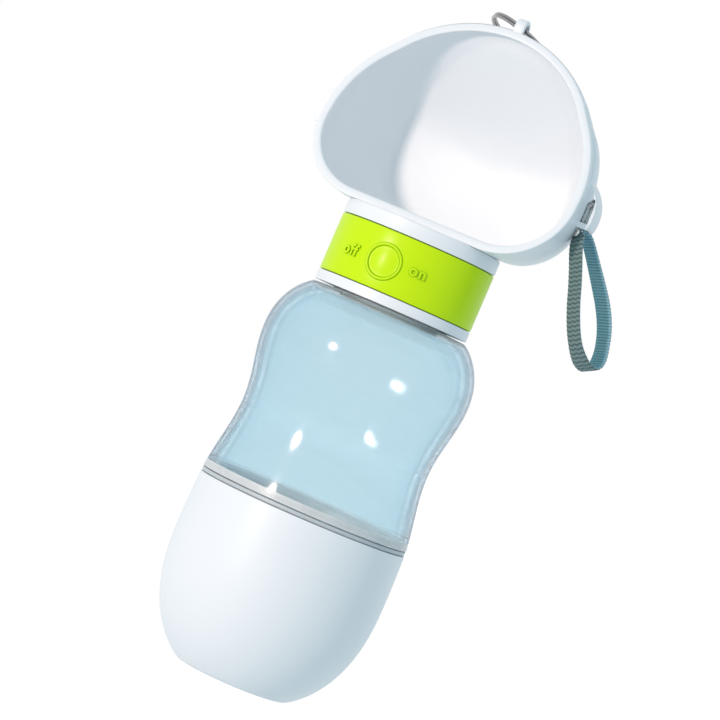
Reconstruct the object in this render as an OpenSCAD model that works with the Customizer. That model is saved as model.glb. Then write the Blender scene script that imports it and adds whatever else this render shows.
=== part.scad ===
// Two-in-one travel water bottle for a dog: a food cup at the foot, a waisted clear bottle,
// a twist valve in a green ring and a scoop-shaped drinking bowl. Millimetres, +Z up.
// The origin is on the bottle's axis, in the plane that the food cup stands on.

/* [Food cup] */
// Height of the cup, from the table to its rim
cup_h = 60.2; // [56:0.2:68]
// Largest radius of the cup
cup_r = 37.3; // [36:0.1:40]
// Radius of the flat foot that it stands on
foot_r = 20; // [16:0.5:26]
// Thickness of the cup's wall
cup_wall = 2.2; // [1.8:0.1:2.6]

/* [Bottle] */
// Height of the bottle's shoulder above the cup's seal
bottle_h = 71.8; // [64:0.2:84]
// How far the waist draws in from the foot of the bottle
waist_in = 3.4; // [2:0.1:6]
// How far the belly above the waist stands out past the foot of the bottle
belly_out = 0; // [-1.5:0.1:1.5]
// Thickness of the blown wall
bottle_wall = 1.5; // [1:0.1:2]
// Length of the threaded spigot that goes down into the cup
spigot_l = 13; // [9:0.5:18]
// Height of the neck above the shoulder
neck_h = 12.2; // [10:0.2:15]

/* [Cap and valve] */
// Outer radius of the collar, the green ring and the bowl's neck
collar_r = 27.3; // [27:0.1:30]
// Height of the white collar below the green ring
collar_h = 3.4; // [2.4:0.2:6]
// Height of the green ring
ring_h = 20; // [19.5:0.5:26]
// Wall of the green ring
ring_wall = 1.7; // [1.4:0.1:2]
// Wall of the cam sleeve inside the green ring
cam_wall = 2.75; // [2.35:0.05:3]
// Wall of the cap's threaded skirt
skirt_wall = 1.7; // [1.4:0.1:2]
// Thickness of the barrel's upper wall
barrel_wall = 2.2; // [1.8:0.1:2.4]
// Thickness of the deck that carries the valve seat
deck_t = 2; // [1.6:0.1:2.6]
// Radius of the central port, inside the silicone seat
port_r = 5; // [3.5:0.1:5.5]
// Turn of the ring each way from the middle
ring_turn = 28; // [20:1:35]
// Lift of the plug for that turn
plug_lift = 1.5; // [1:0.1:1.6]
// Radius of the follower pins
pin_r = 1.4; // [1:0.1:1.5]

/* [Bowl] */
// Half width of the bowl's mouth
mouth_half_w = 48; // [44:0.2:50]
// Height of the mouth, from its lower lip to the apex
mouth_h = 73.6; // [66:0.2:78]
// How far the lower lip stands in front of the axis
lip_front = 16.5; // [12:0.5:22]
// Lean of the mouth's plane away from upright
mouth_lean = 17.2; // [12:0.2:22]
// How far the upright back wall lies behind the axis
back_y = 36; // [32:0.5:40]
// Depth of the bowl at its apex
apex_depth = 4; // [3:0.2:8]
// Slope of the upper floor: depth gained for each millimetre down
floor_slope = 0.75; // [0.6:0.01:0.9]
// Wall of the bowl
bowl_wall = 2; // [1.6:0.1:2.6]
// Radius of the drain in the bowl's floor
drain_r = 9; // [7:0.2:10.5]

/* [Lugs, strap and ring] */
// Width of the webbing
strap_w = 7; // [5:0.5:9]
// Thickness of the webbing
strap_t = 0.8; // [0.6:0.1:1]
// Hanging length of the strap's loop
strap_l = 46; // [36:1:60]
// Turn of the webbing about its length as it hangs
strap_twist = 65; // [20:1:75]
// How far the strap hangs out from the bottle's axis, in degrees
strap_hang = 23.4; // [10:0.2:40]
// Radius of the cross pin in the right lug
strap_pin_r = 0.5; // [0.4:0.1:0.7]
// Wall of the lugs
lug_wall = 1; // [0.9:0.1:1.6]
// Height of a lug's open foot above the lower lip
lug_lift = 20; // [17:0.5:24]
// Height of a lug, from its open foot to its root on the wall
lug_h = 15.5; // [14:0.5:20]
// Mean radius of the steel split ring
split_ring_r = 15.2; // [12:0.2:18]
// Thickness of one turn of its wire
ring_wire = 1.1; // [0.8:0.1:1.2]
// Radius of the eyelet's hole at the apex
eyelet_r = 2.1; // [2:0.1:2.6]

/* [Hidden] */

white = "#f3f6fa";
lime = "#b5e322";
steel = "#b9bdc1";
silicone = "#c9d0d4";
webbing = "#75888c";
clear = [0.72, 0.85, 0.93, 0.4];

// clearances
gap = 0.3;              // between bodies that move past each other
slip = 0.05;            // between pieces of one body that are pushed together
lap = 0.6;              // how far joined solids run into each other

// food cup
belly_z = 0.69 * cup_h;                 // height of its widest place
cup_power = 2.3;                        // squareness of its lower curve
rim_taper = 0.4;                        // how much the rim draws in
bottle_foot_r = cup_r - rim_taper;      // flush with the cup's rim
waist_r = bottle_foot_r - waist_in;
belly_r = bottle_foot_r + belly_out;
ledge_w = 2.9;                          // the ledge that rests on the seal
spigot_r = bottle_foot_r - ledge_w;
thread_room = 0.9;                      // between a thread's bore and its core
cup_bore_r = spigot_r + thread_room;
cup_floor_t = 2.5;

// seal between the cup and the bottle
seal_t = 1.2;
seal_z = cup_h + gap;

// bottle
foot_z = seal_z + seal_t + gap;         // underside of the bottle's ledge
shoulder_z = foot_z + bottle_h - 0.3;   // top of the shoulder, under the collar
waist_z = foot_z + 0.355 * bottle_h;
bottle_belly_z = foot_z + 0.72 * bottle_h;
shoulder_centre_r = collar_r - 9;       // centre of the shoulder's curve, across
shoulder_rise = 1.12 * (shoulder_z - bottle_belly_z);
spigot_z = foot_z - spigot_l;
lip_z = shoulder_z + neck_h;            // the neck's sealing lip

// cap, from its foot up
cap_z = shoulder_z + gap;
collar_top = cap_z + collar_h;
gasket_t = 1.3;
deck_z = lip_z + gasket_t;              // underside of the deck
deck_top = deck_z + deck_t;
ring_z = collar_top + gap;
ring_top = ring_z + ring_h;
bowl_z = ring_top + gap;                // lower edge of the bowl's neck
ring_bore_r = collar_r - ring_wall;
cam_outer_r = ring_bore_r - slip;
cam_r = cam_outer_r - cam_wall;         // bore of the cam sleeve
barrel_r = cam_r - gap;                 // the cap's barrel
skirt_r = barrel_r - skirt_wall;        // bore of the threaded skirt
neck_r = skirt_r - thread_room - 0.4;   // core of the bottle's neck
neck_wall = 1.9;
neck_bore_r = neck_r - neck_wall;
gasket_r = neck_bore_r - 2;             // bore of the neck's gasket
bore_r = barrel_r - barrel_wall;        // bore of the barrel above the deck
sleeve_r = bore_r - gap;                // the bowl's inner sleeve
sleeve_wall = 2.2;
oring_r = 0.5;                          // section of every O-ring
plate_z = bowl_z + 3.2;                 // underside of the bowl's top plate
barrel_top = plate_z - 2 * oring_r - 0.15;
snap_h = 0.3;                           // the snap bead's height
snap_z = bowl_z + 0.2;
seat_r = port_r + 2.5;
seat_flange = 0.8;
vent_r = 1.6;
vent_y = gasket_r - vent_r - 2;         // the vent valve's place on the deck

// seals of the ring
oring_mean = barrel_r - 0.2 - oring_r + 0.3;
groove_r = oring_mean - oring_r - slip;
lower_groove_z = deck_z + 1;
pin_z = deck_top + 3.6;                 // height of the pins at rest
slot_half = pin_r + gap;
upper_groove_z = pin_z + plug_lift + slot_half + 1;

// cam sleeve and ring
cam_steps = 8;                          // straight cuts that make one helical slot
pin_count = 3;

// carriage
spider_r = bore_r - gap;
spider_wall = 2.8;
spider_half = pin_r + 0.4;              // half the height of its rim
plug_z = deck_top + seat_flange + plug_lift + slip - 1.2;  // foot of the plug's cone
plug_top = pin_z - 0.4;
pin_reach = cam_outer_r - 0.25;

// bowl: a rounded triangle whose arcs are placed from the mouth's size
lip_z0 = bowl_z + 5.1;                              // the lower lip
corner_r = 0.443 * mouth_half_w;                    // lower corners
side_r = 0.886 * mouth_half_w;                      // sides
apex_r = 0.924 * mouth_half_w;                      // top
corner_c = [mouth_half_w - corner_r, lip_z0 + corner_r];
side_c = [mouth_half_w - side_r, lip_z0 + 0.342 * mouth_h];
apex_c = [0, lip_z0 + mouth_h - apex_r];
turn_in = 38;                                       // where the side's arc gives way to the top's
bulge_power = 2.6;                                  // the wall stays straight, then turns in
side_draft = 0.30;                                  // share of the width lost by the floor's edge
lift_draft = 0.10;                                  // share of the height lost
draft_z = lip_z0 + 0.362 * mouth_h;                 // height that the draft closes on
mouth_slope = tan(mouth_lean);
apex_y = mouth_h * mouth_slope - lip_front + apex_depth;
floor_bend = 2.5;                                   // softness of the bend in the floor
floor_dome = 1.5;                                   // how far the floor's middle stands back
inner_soft = [0.95, 0.07];                          // where the rounding of the floor's edge starts
outer_soft = [0.88, 0.14];                          // and ends, inside and outside
neck_shoulder_r = collar_r - 5.8;                   // where the neck's shoulder meets the bowl
shoulder_y = neck_shoulder_r - lip_front + 0.4;
neck_straight = 3.8;                                // straight part of the bowl's neck
strainer_seat_z = lip_z0 + 1.4;                     // the step that the strainer's flange rests on
strainer_flange_t = 1;
strainer_flange_w = 1.4;
strainer_stem = 3;                                  // how far it reaches down into the drain
strainer_wall = 1.3;
strainer_hole_r = 1.5;

// lugs
lug_z = lip_z0 + lug_lift;                          // their open foot
lug_y = 3.7;
lug_foot_h = 1.9;                                   // height of the foot below the window
lug_slot_w = strap_w + 2 * 0.4;                     // along the pin
lug_depth = lug_slot_w + 2 * lug_wall;
lug_slot_t = 2 * (strap_pin_r + slip + strap_t) + 0.2; // across the webbing's two layers
lug_root = mouth_half_w - 1.8;
lug_x = mouth_half_w - 0.1;                         // inner side of the slot
strap_x = lug_x + lug_slot_t / 2;
strap_pin_z = lug_z + 0.52 * lug_h;
lug_out = lug_x + lug_slot_t + lug_wall + 0.1;      // its outermost place
lug_belly_z = lug_z + 0.27 * lug_h;                 // and the height of that place
lug_rise = lug_z + lug_h - lug_belly_z;
lug_arc_r = (pow(lug_rise, 2) + pow(lug_out - lug_root, 2)) / (2 * (lug_out - lug_root));

// strap
flex_z = lug_z - 1.2;                               // the line that the strap folds on
flex_r = strap_t;                                   // its two layers, sewn together
strap_spread = 13;                                  // how far the outer leg bows out
loop_steps = 3;                                     // rings between two points of the loop

// eyelet and split ring
eyelet_y = apex_y - 0.4;
eyelet_z = lip_z0 + mouth_h + 1.6;
eyelet_rim = 1.3;
eyelet_t = 3;
ring_roll = 19;                                     // the ring's lean to the right
ring_drop = -13;                                     // and its droop to the back
ring_shift = 0.4;                                   // how far it hangs off to the right

// ---------- curves ----------

// Outer radius of the food cup at height z
function cup_radius(z, a, b) = z < belly_z
    ? a * pow(1 - pow((belly_z - z) / b, cup_power), 1 / cup_power)
    : a - rim_taper * pow((z - belly_z) / (cup_h - belly_z), 2);

// Reach of the curve below the belly, so that its foot has radius r at height z
function cup_reach(z, a, r) = (belly_z - z) / pow(1 - pow(r / a, cup_power), 1 / cup_power);

// A smooth step from 0 to 1
function ease(t) = 0.5 - 0.5 * cos(180 * min(1, max(0, t)));

// Outer radius of the bottle at height z, drawn in by w
function bottle_radius(z, w) = z < waist_z
    ? bottle_foot_r - w - (bottle_foot_r - waist_r) * ease((z - foot_z + 4) / (waist_z - foot_z + 4))
    : z < bottle_belly_z
    ? waist_r - w + (belly_r - waist_r) * ease((z - waist_z) / (bottle_belly_z - waist_z))
    : shoulder_centre_r + (belly_r - w - shoulder_centre_r)
      * sqrt(max(0, 1 - pow((z - bottle_belly_z) / (shoulder_rise - w), 2)));

// Points of the bottle's side from z0 to z1, drawn in by w
function side(z0, z1, n, w) = [for (i = [0 : n]) let (z = z0 + (z1 - z0) * i / n) [bottle_radius(z, w), z]];

// A quarter of a circle, from angle a0 to a1
function arc(c, r, a0, a1, n) = [for (i = [0 : n]) let (a = a0 + (a1 - a0) * i / n) c + r * [cos(a), sin(a)]];

// Half of the mouth's outline, from the lower lip up to the apex, drawn in by w
function mouth_half(w) = concat(
    [[0, lip_z0 + w], [corner_c.x / 3, lip_z0 + w], [2 * corner_c.x / 3, lip_z0 + w]],
    arc(corner_c, corner_r - w, -90, 0, 9),
    arc(side_c, side_r - w, 6, turn_in, 4),
    arc(apex_c, apex_r - w, turn_in + 4, 90, 7));

// The whole outline: the right half, then its mirror image on the way back
function mouth(w) = let (h = mouth_half(w), n = len(h))
    concat(h, [for (i = [n - 2 : -1 : 1]) [-h[i].x, h[i].y]]);

// The mouth's plane: y at height z
function mouth_y(z) = (z - lip_z0) * mouth_slope - lip_front;

// The bowl's floor: upright below, sloping forward to the apex above, with a soft bend
function floor_y(z) = let (a = back_y, b = apex_y + floor_slope * (lip_z0 + mouth_h - 2 - z))
    -floor_bend * ln(exp(-a / floor_bend) + exp(-b / floor_bend));

// A point of the wall: t runs from 0 at the mouth to 1 at the floor's edge
function wall_point(p, t, w) = let (
    k = pow(t, bulge_power),
    z_edge = draft_z + (p.y - draft_z) * (1 - lift_draft),
    y0 = mouth_y(p.y))
    [p.x * (1 - side_draft * k),
     y0 + t * (floor_y(z_edge) - w - y0),
     draft_z + (p.y - draft_z) * (1 - lift_draft * k)];

// A point of the floor: f runs from 0 at its edge to 1 at its middle
function floor_point(p, f, w) = let (
    e = wall_point(p, 1, w),
    z = draft_z + (e.z - draft_z) * (1 - f))
    [e.x * (1 - f), floor_y(z) - w + floor_dome * (1 - pow(1 - f, 2)), z];

// A point of the rounding where wall and floor meet: u runs from 0 to 1
function edge_point(p, u, w, soft) =
    pow(1 - u, 2) * wall_point(p, soft[0], w)
    + 2 * u * (1 - u) * wall_point(p, 1, w)
    + u * u * floor_point(p, soft[1], w);

wall_steps = [0.12, 0.3, 0.46, 0.6, 0.72, 0.82];
edge_steps = [0, 0.25, 0.5, 0.75, 1];
floor_steps = [0.28, 0.45, 0.63, 0.82];

// The rings of one side of the shell, from the mouth to the middle of the floor
function wall_ring(t, w) = [for (p = mouth(w)) wall_point(p, t, w)];
function shell_rings(w, soft) = concat(
    [for (t = wall_steps) wall_ring(t, w)],
    [for (u = edge_steps) [for (p = mouth(w)) edge_point(p, u, w, soft)]],
    [for (f = floor_steps) [for (p = mouth(w)) floor_point(p, f, w)]]);

// The middle of the floor
function floor_middle(w) = [0, floor_y(draft_z) - w + floor_dome, draft_z];

// A closed skin over rings of points, with a fan to a point at each end
module skin(rings, first, last) {
    n = len(rings[0]);
    m = len(rings);
    points = concat([first], [for (r = rings) each r], [last]);
    faces = concat(
        [for (j = [0 : n - 1]) [0, 1 + (j + 1) % n, 1 + j]],
        [for (i = [0 : m - 2], j = [0 : n - 1]) let (a = 1 + i * n, b = a + n, k = (j + 1) % n)
            each [[a + j, a + k, b + k], [a + j, b + k, b + j]]],
        [for (j = [0 : n - 1]) let (a = 1 + (m - 1) * n) [a + j, a + (j + 1) % n, 1 + m * n]]);
    polyhedron(points, faces, convexity = 6);
}

// Reversed order of a list
function reversed(v) = [for (i = [len(v) - 1 : -1 : 0]) v[i]];

// ---------- food cup ----------

module food_cup() {
    inner_r = cup_r - cup_wall;
    inner_floor_r = foot_r - 0.5;
    outer = [for (i = [0 : 30]) let (z = cup_h * i / 30)
        [cup_radius(z, cup_r, cup_reach(0, cup_r, foot_r)), z]];
    inner = [for (i = [0 : 24]) let (z = cup_floor_t + (belly_z - cup_floor_t) * i / 24)
        [cup_radius(z, inner_r, cup_reach(cup_floor_t, inner_r, inner_floor_r)), z]];
    color(white)
    rotate_extrude($fn = 96)
        polygon(concat([[0, 0]], outer,
                       [[cup_bore_r + 0.4, cup_h], [cup_bore_r, cup_h - 0.4], [cup_bore_r, belly_z + 2]],
                       reversed(inner), [[0, cup_floor_t]]));
}

module cup_seal() {
    color(silicone)
    translate([0, 0, seal_z])
        difference() {
            cylinder(r = bottle_foot_r - gap, h = seal_t, $fn = 96);
            translate([0, 0, -1])
                cylinder(r = spigot_r + gap, h = seal_t + 2, $fn = 96);
        }
}

// ---------- bottle ----------

module bottle() {
    corner = 3.5;
    inner_corner = corner - bottle_wall;
    outer = concat(
        [[0, spigot_z]],
        arc([spigot_r - corner, spigot_z + corner], corner, -90, 0, 5),
        [[spigot_r, foot_z], [bottle_foot_r - 0.4, foot_z]],
        side(foot_z + 0.4, bottle_belly_z, 24, 0),
        side(bottle_belly_z + 1, shoulder_z, 14, 0),
        [[neck_r, shoulder_z], [neck_r, lip_z], [neck_bore_r, lip_z]]);
    inner = concat(
        [[neck_bore_r, shoulder_z - bottle_wall - 0.6]],
        reversed(side(bottle_belly_z + 1, shoulder_z - bottle_wall, 12, bottle_wall)),
        reversed(side(foot_z + bottle_wall, bottle_belly_z, 24, bottle_wall)),
        [[spigot_r - bottle_wall, foot_z + bottle_wall]],
        arc([spigot_r - corner, spigot_z + corner], inner_corner, 0, -90, 5),
        [[0, spigot_z + bottle_wall]]);
    color(clear)
    rotate_extrude($fn = 96)
        polygon(concat(outer, inner));
}

module neck_gasket() {
    color(silicone)
    translate([0, 0, lip_z])
        difference() {
            cylinder(r = skirt_r - gap, h = gasket_t - gap, $fn = 72);
            translate([0, 0, -1])
                cylinder(r = gasket_r, h = gasket_t + 2, $fn = 72);
        }
}

// ---------- cap and valve ----------

module oring_groove(z) {
    translate([0, 0, z])
        rotate_extrude($fn = 96)
            translate([groove_r, -oring_r - 0.1])
                square([barrel_r - groove_r + 1, 2 * oring_r + 0.2]);
}

module cap() {
    color(white)
    difference() {
        union() {
            translate([0, 0, cap_z])
                cylinder(r = barrel_r, h = barrel_top - cap_z, $fn = 96);
            translate([0, 0, cap_z])
                cylinder(r = collar_r, h = collar_h, $fn = 96);
        }
        // the threaded skirt's bore, the deck's port and the valve chamber
        translate([0, 0, cap_z - 1])
            cylinder(r = skirt_r, h = deck_z - cap_z + 1, $fn = 96);
        translate([0, 0, deck_z - 1])
            cylinder(r = seat_r + slip, h = deck_t + 2, $fn = 48);
        translate([0, 0, deck_top])
            cylinder(r = bore_r, h = barrel_top, $fn = 96);
        // the vent valve's stem hole and air holes
        translate([0, vent_y, deck_z - 1])
            cylinder(r = vent_r, h = deck_t + 2, $fn = 24);
        // the groove for the bowl's snap bead
        translate([0, 0, snap_z - 0.2])
            cylinder(r = bore_r + snap_h + 0.1, h = 1.2, $fn = 96);
        oring_groove(lower_groove_z);
        oring_groove(upper_groove_z);
        // upright slots that guide the follower pins
        for (i = [0 : pin_count - 1])
            rotate([0, 0, 90 + i * 360 / pin_count])
                translate([bore_r - 2, -slot_half, pin_z - plug_lift - slot_half])
                    cube([barrel_wall + 4, 2 * slot_half, 2 * (plug_lift + slot_half)]);
    }
}

module valve_seat() {
    color(silicone)
    difference() {
        union() {
            translate([0, 0, deck_z + 0.2])
                cylinder(r = seat_r, h = deck_t - 0.2, $fn = 48);
            translate([0, 0, deck_top])
                cylinder(r = seat_r + 1.5, h = seat_flange, $fn = 48);
        }
        translate([0, 0, deck_z - 1])
            cylinder(r = port_r, h = deck_t + seat_flange + 2, $fn = 48);
        // the cone that the plug closes on
        translate([0, 0, deck_top + seat_flange - 1.2])
            cylinder(r1 = port_r, r2 = port_r + 1.2, h = 1.2 + 0.001, $fn = 48);
    }
}

module vent_valve() {
    color(silicone)
    translate([0, vent_y, 0])
        union() {
            translate([0, 0, deck_z - 0.9])
                cylinder(r = vent_r - slip, h = deck_t + 0.9, $fn = 24);
            translate([0, 0, deck_z - 0.9])
                cylinder(r = vent_r + 1, h = 0.9, $fn = 24);
        }
}

module ring_oring(z) {
    translate([0, 0, z])
        rotate_extrude($fn = 96)
            translate([oring_mean, 0])
                circle(r = oring_r, $fn = 24);
}

module lower_ring_seal() {
    color("#404548")
        ring_oring(lower_groove_z);
}

module upper_ring_seal() {
    color("#404548")
        ring_oring(upper_groove_z);
}

module cam_sleeve() {
    span = 2 * ring_turn;
    step = span / cam_steps;
    cut_w = max(2 * cam_outer_r * sin(step / 2) + 0.8, 2 * slot_half + 0.4);
    rise = atan(2 * plug_lift / (cam_outer_r * span * PI / 180));
    color("#e9e4d4")
    difference() {
        translate([0, 0, ring_z])
            cylinder(r = cam_outer_r, h = ring_h, $fn = 96);
        translate([0, 0, ring_z - 1])
            cylinder(r = cam_r, h = ring_h + 2, $fn = 96);
        // helical slots: a turn towards off brings the pins down
        for (i = [0 : pin_count - 1], k = [0 : cam_steps])
            rotate([0, 0, 90 + i * 360 / pin_count - ring_turn + k * step])
                translate([cam_r - 1, 0, pin_z - plug_lift + 2 * plug_lift * (k / cam_steps)])
                    rotate([rise, 0, 0])
                        translate([0, -cut_w / 2, -slot_half])
                            cube([cam_outer_r - cam_r + 2, cut_w, 2 * slot_half]);
    }
}

module valve_ring() {
    chamfer = 0.5;
    color(lime)
    rotate_extrude($fn = 120)
        polygon([[ring_bore_r, ring_z], [collar_r - chamfer, ring_z], [collar_r, ring_z + chamfer],
                 [collar_r, ring_top - chamfer], [collar_r - chamfer, ring_top],
                 [ring_bore_r, ring_top]]);
}

module valve_carriage() {
    hub_r = 6;
    peg_r = 2.4;
    color("#e9e4d4")
    difference() {
        union() {
            // the rim that runs in the cap's barrel
            difference() {
                translate([0, 0, pin_z - spider_half])
                    cylinder(r = spider_r, h = 2 * spider_half, $fn = 96);
                translate([0, 0, pin_z - spider_half - 1])
                    cylinder(r = spider_r - spider_wall, h = 2 * spider_half + 2, $fn = 96);
            }
            // hub, peg and three arms
            translate([0, 0, plug_top])
                cylinder(r = hub_r, h = pin_z + spider_half - plug_top, $fn = 48);
            translate([0, 0, plug_z + 0.8])
                cylinder(r = peg_r, h = plug_top - plug_z, $fn = 32);
            for (i = [0 : pin_count - 1])
                rotate([0, 0, 30 + i * 360 / pin_count])
                    translate([0, -1.5, plug_top])
                        cube([spider_r - 1, 3, pin_z + spider_half - plug_top]);
        }
        for (i = [0 : pin_count - 1])
            rotate([0, 0, 90 + i * 360 / pin_count])
                translate([spider_r - spider_wall - 1, 0, pin_z])
                    rotate([0, 90, 0])
                        cylinder(r = pin_r, h = spider_wall + 2, $fn = 32);
    }
}

module follower_pins() {
    color(steel)
    for (i = [0 : pin_count - 1])
        rotate([0, 0, 90 + i * 360 / pin_count])
            translate([spider_r - spider_wall, 0, pin_z])
                rotate([0, 90, 0])
                    cylinder(r = pin_r - 0.02, h = pin_reach - spider_r + spider_wall, $fn = 32);
}

module valve_plug() {
    color("#8fa3ad")
    difference() {
        union() {
            translate([0, 0, plug_z])
                cylinder(r1 = port_r - 0.1, r2 = port_r + 1.1, h = 1.2, $fn = 48);
            translate([0, 0, plug_z + 1.2])
                cylinder(r = port_r + 1.1, h = plug_top - plug_z - 1.2, $fn = 48);
        }
        translate([0, 0, plug_z + 0.75])
            cylinder(r = 2.45, h = plug_top, $fn = 32);
    }
}

// ---------- bowl ----------

// The bowl's outer form, grown by w
module bowl_outside(w) {
    skin(concat([wall_ring(0, -w)], shell_rings(-w, outer_soft)),
         [0, mouth_y(draft_z), draft_z], floor_middle(-w));
}

// The hollow, run out past the mouth so that it cuts cleanly
module bowl_inside() {
    ahead = 30;
    open_ring = [for (p = wall_ring(0, bowl_wall)) [p.x, p.y - ahead, p.z]];
    skin(concat([open_ring], shell_rings(bowl_wall, inner_soft)),
         [0, mouth_y(draft_z) - ahead, draft_z], floor_middle(bowl_wall));
}

// A raised pad along the upper shoulder of one side of the bowl, parallel to the mouth
module grip_pad(side) {
    pad_t = 0.6;
    pad_start = 3;
    pad_end = 11;
    low = lip_z0 + 0.46 * mouth_h;
    high = lip_z0 + 0.79 * mouth_h;
    intersection() {
        bowl_outside(pad_t);
        translate([side > 0 ? 0.6 * mouth_half_w : -1.6 * mouth_half_w, 0, 0])
            rotate([90, 0, 90])
                linear_extrude(height = mouth_half_w)
                    polygon([[mouth_y(low) + pad_start, low], [mouth_y(low) + pad_end, low],
                             [mouth_y(high) + pad_end, high], [mouth_y(high) + pad_start, high]]);
    }
}

// One side lug: a curved band with a slot for the webbing, open below, and a window through it
module lug(side) {
    mirror([side < 0 ? 1 : 0, 0, 0])
    translate([0, lug_y + lug_depth / 2, 0])
        rotate([90, 0, 0])
            linear_extrude(height = lug_depth)
                polygon(concat(
                    [[lug_root, lug_z + lug_h], [lug_root, lug_z]],
                    arc([lug_out - lug_arc_r, lug_belly_z], lug_arc_r,
                        -asin((lug_belly_z - lug_z) / lug_arc_r), asin(lug_rise / lug_arc_r), 12)));
}

// What is cut from a lug: the slot from below, the window from front to back and the pin's hole
module lug_hollow(side) {
    slot_top = strap_pin_z - lug_z;
    mirror([side < 0 ? 1 : 0, 0, 0])
    translate([strap_x, lug_y, lug_z]) {
        rotate([90, 0, 0])
            translate([0, slot_top, -lug_slot_w / 2])
                cylinder(r = lug_slot_t / 2, h = lug_slot_w, $fn = 32);
        translate([-lug_slot_t / 2, -lug_slot_w / 2, -1])
            cube([lug_slot_t, lug_slot_w, slot_top + 1]);
        translate([-lug_slot_t / 2, -lug_depth / 2 - 1, lug_foot_h])
            cube([lug_slot_t, lug_depth + 2, slot_top - strap_pin_r - 0.5 - lug_foot_h]);
        rotate([90, 0, 0])
            translate([0, slot_top, -lug_depth / 2 + 0.3])
                cylinder(r = strap_pin_r + 0.02, h = lug_depth - 0.6, $fn = 32);
    }
}

module eyelet() {
    translate([-eyelet_t / 2, eyelet_y, eyelet_z])
        rotate([0, 90, 0])
            difference() {
                hull() {
                    cylinder(r = eyelet_r + eyelet_rim, h = eyelet_t, $fn = 32);
                    translate([5.2, 0.8, 0])
                        cylinder(r = eyelet_r + eyelet_rim, h = eyelet_t, $fn = 32);
                }
                translate([0, 0, -1])
                    cylinder(r = eyelet_r, h = eyelet_t + 2, $fn = 32);
            }
}

module bowl() {
    color(white)
    difference() {
        union() {
            bowl_outside(0);
            grip_pad(1);
            grip_pad(-1);
            lug(1);
            lug(-1);
            eyelet();
            // the neck and the shoulder that carries the bowl
            translate([0, 0, bowl_z])
                cylinder(r = collar_r, h = neck_straight, $fn = 96);
            hull() {
                translate([0, 0, bowl_z + neck_straight - 0.2])
                    cylinder(r = collar_r, h = 0.2, $fn = 64);
                translate([0, shoulder_y, lip_z0])
                    cylinder(r = neck_shoulder_r, h = lap, $fn = 64);
            }
            translate([0, shoulder_y, lip_z0])
                cylinder(r = neck_shoulder_r, h = 3.4, $fn = 64);
            // the inner sleeve and its snap bead
            translate([0, 0, bowl_z - 0.8])
                cylinder(r = sleeve_r, h = 4, $fn = 96);
            translate([0, 0, snap_z])
                cylinder(r = bore_r + snap_h, h = 0.7, $fn = 96);
        }
        bowl_inside();
        lug_hollow(1);
        lug_hollow(-1);
        // the pocket that takes the cap's barrel
        translate([0, 0, bowl_z - 0.1])
            difference() {
                cylinder(r = collar_r - 2, h = plate_z - bowl_z + 0.1, $fn = 96);
                translate([0, 0, -1])
                    cylinder(r = sleeve_r, h = 6, $fn = 96);
            }
        // the sleeve's bore, its seal groove, the drain and the strainer's seat
        translate([0, 0, bowl_z - 2])
            cylinder(r = sleeve_r - sleeve_wall, h = plate_z - bowl_z + 2, $fn = 72);
        translate([0, 0, plate_z - 1])
            cylinder(r = drain_r, h = strainer_seat_z - plate_z + 2, $fn = 64);
        translate([0, 0, strainer_seat_z])
            cylinder(r = drain_r + strainer_flange_w + 0.2, h = 6, $fn = 64);
    }
}

module bowl_seal() {
    color(silicone)
    translate([0, 0, plate_z - oring_r - 0.08])
        rotate_extrude($fn = 96)
            translate([(bore_r + barrel_r) / 2, 0])
                circle(r = oring_r, $fn = 24);
}

module outlet_strainer() {
    flange_z = strainer_seat_z + slip;
    foot_z0 = flange_z - strainer_stem;
    color(white)
    difference() {
        union() {
            translate([0, 0, flange_z])
                cylinder(r = drain_r + strainer_flange_w, h = strainer_flange_t, $fn = 64);
            translate([0, 0, foot_z0])
                cylinder(r = drain_r - slip, h = strainer_stem + strainer_flange_t / 2, $fn = 64);
        }
        translate([0, 0, foot_z0 - 1])
            cylinder(r = drain_r - strainer_wall, h = strainer_stem + 1, $fn = 64);
        // one hole in the middle and six round it
        for (i = [0 : 6])
            rotate([0, 0, i * 60])
                translate([i == 0 ? 0 : 0.58 * drain_r, 0, foot_z0])
                    cylinder(r = strainer_hole_r, h = 2 * strainer_stem, $fn = 24);
    }
}

// ---------- strap ----------

module strap_pin() {
    color(steel)
    translate([strap_x, lug_y + lug_depth / 2 - 0.3, strap_pin_z])
        rotate([90, 0, 0])
            cylinder(r = strap_pin_r, h = lug_depth - 0.6, $fn = 32);
}

// The webbing inside the lug: round the pin, then its two layers sewn together
module strap_tab() {
    inner_r = strap_pin_r + slip;
    drop = strap_pin_z - lug_z;
    color(webbing)
    translate([strap_x, lug_y + strap_w / 2, strap_pin_z])
        rotate([90, 0, 0])
            linear_extrude(height = strap_w)
                difference() {
                    hull() {
                        circle(r = inner_r + strap_t, $fn = 32);
                        translate([-strap_t, -drop])
                            square([2 * strap_t, 1]);
                    }
                    hull() {
                        circle(r = inner_r, $fn = 32);
                        translate([0, -drop + 5])
                            circle(r = 0.1, $fn = 16);
                    }
                }
}

// The loop's centre line beside its hanging axis: how far to the side, and how far down
strap_loop = [for (p = [[-0.01, 0.04], [-0.07, 0.11], [-0.11, 0.22], [-0.13, 0.4], [-0.13, 0.55],
                        [-0.08, 0.7], [0.03, 0.84], [0.24, 0.965], [0.52, 1], [0.79, 0.945],
                        [0.95, 0.82], [1, 0.66], [0.98, 0.49], [0.87, 0.33], [0.62, 0.19],
                        [0.28, 0.09], [0.01, 0.04]])
    [p.x * strap_spread + (p.x < 0 ? -strap_t / 2 : strap_t / 2), p.y * strap_l]];

// A smooth curve through four points, between the middle two
function through(a, b, c, d, t) = 0.5 * (2 * b + t * (c - a) + t * t * (2 * a - 5 * b + 4 * c - d)
                                         + t * t * t * (3 * b - a - 3 * c + d));

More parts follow.
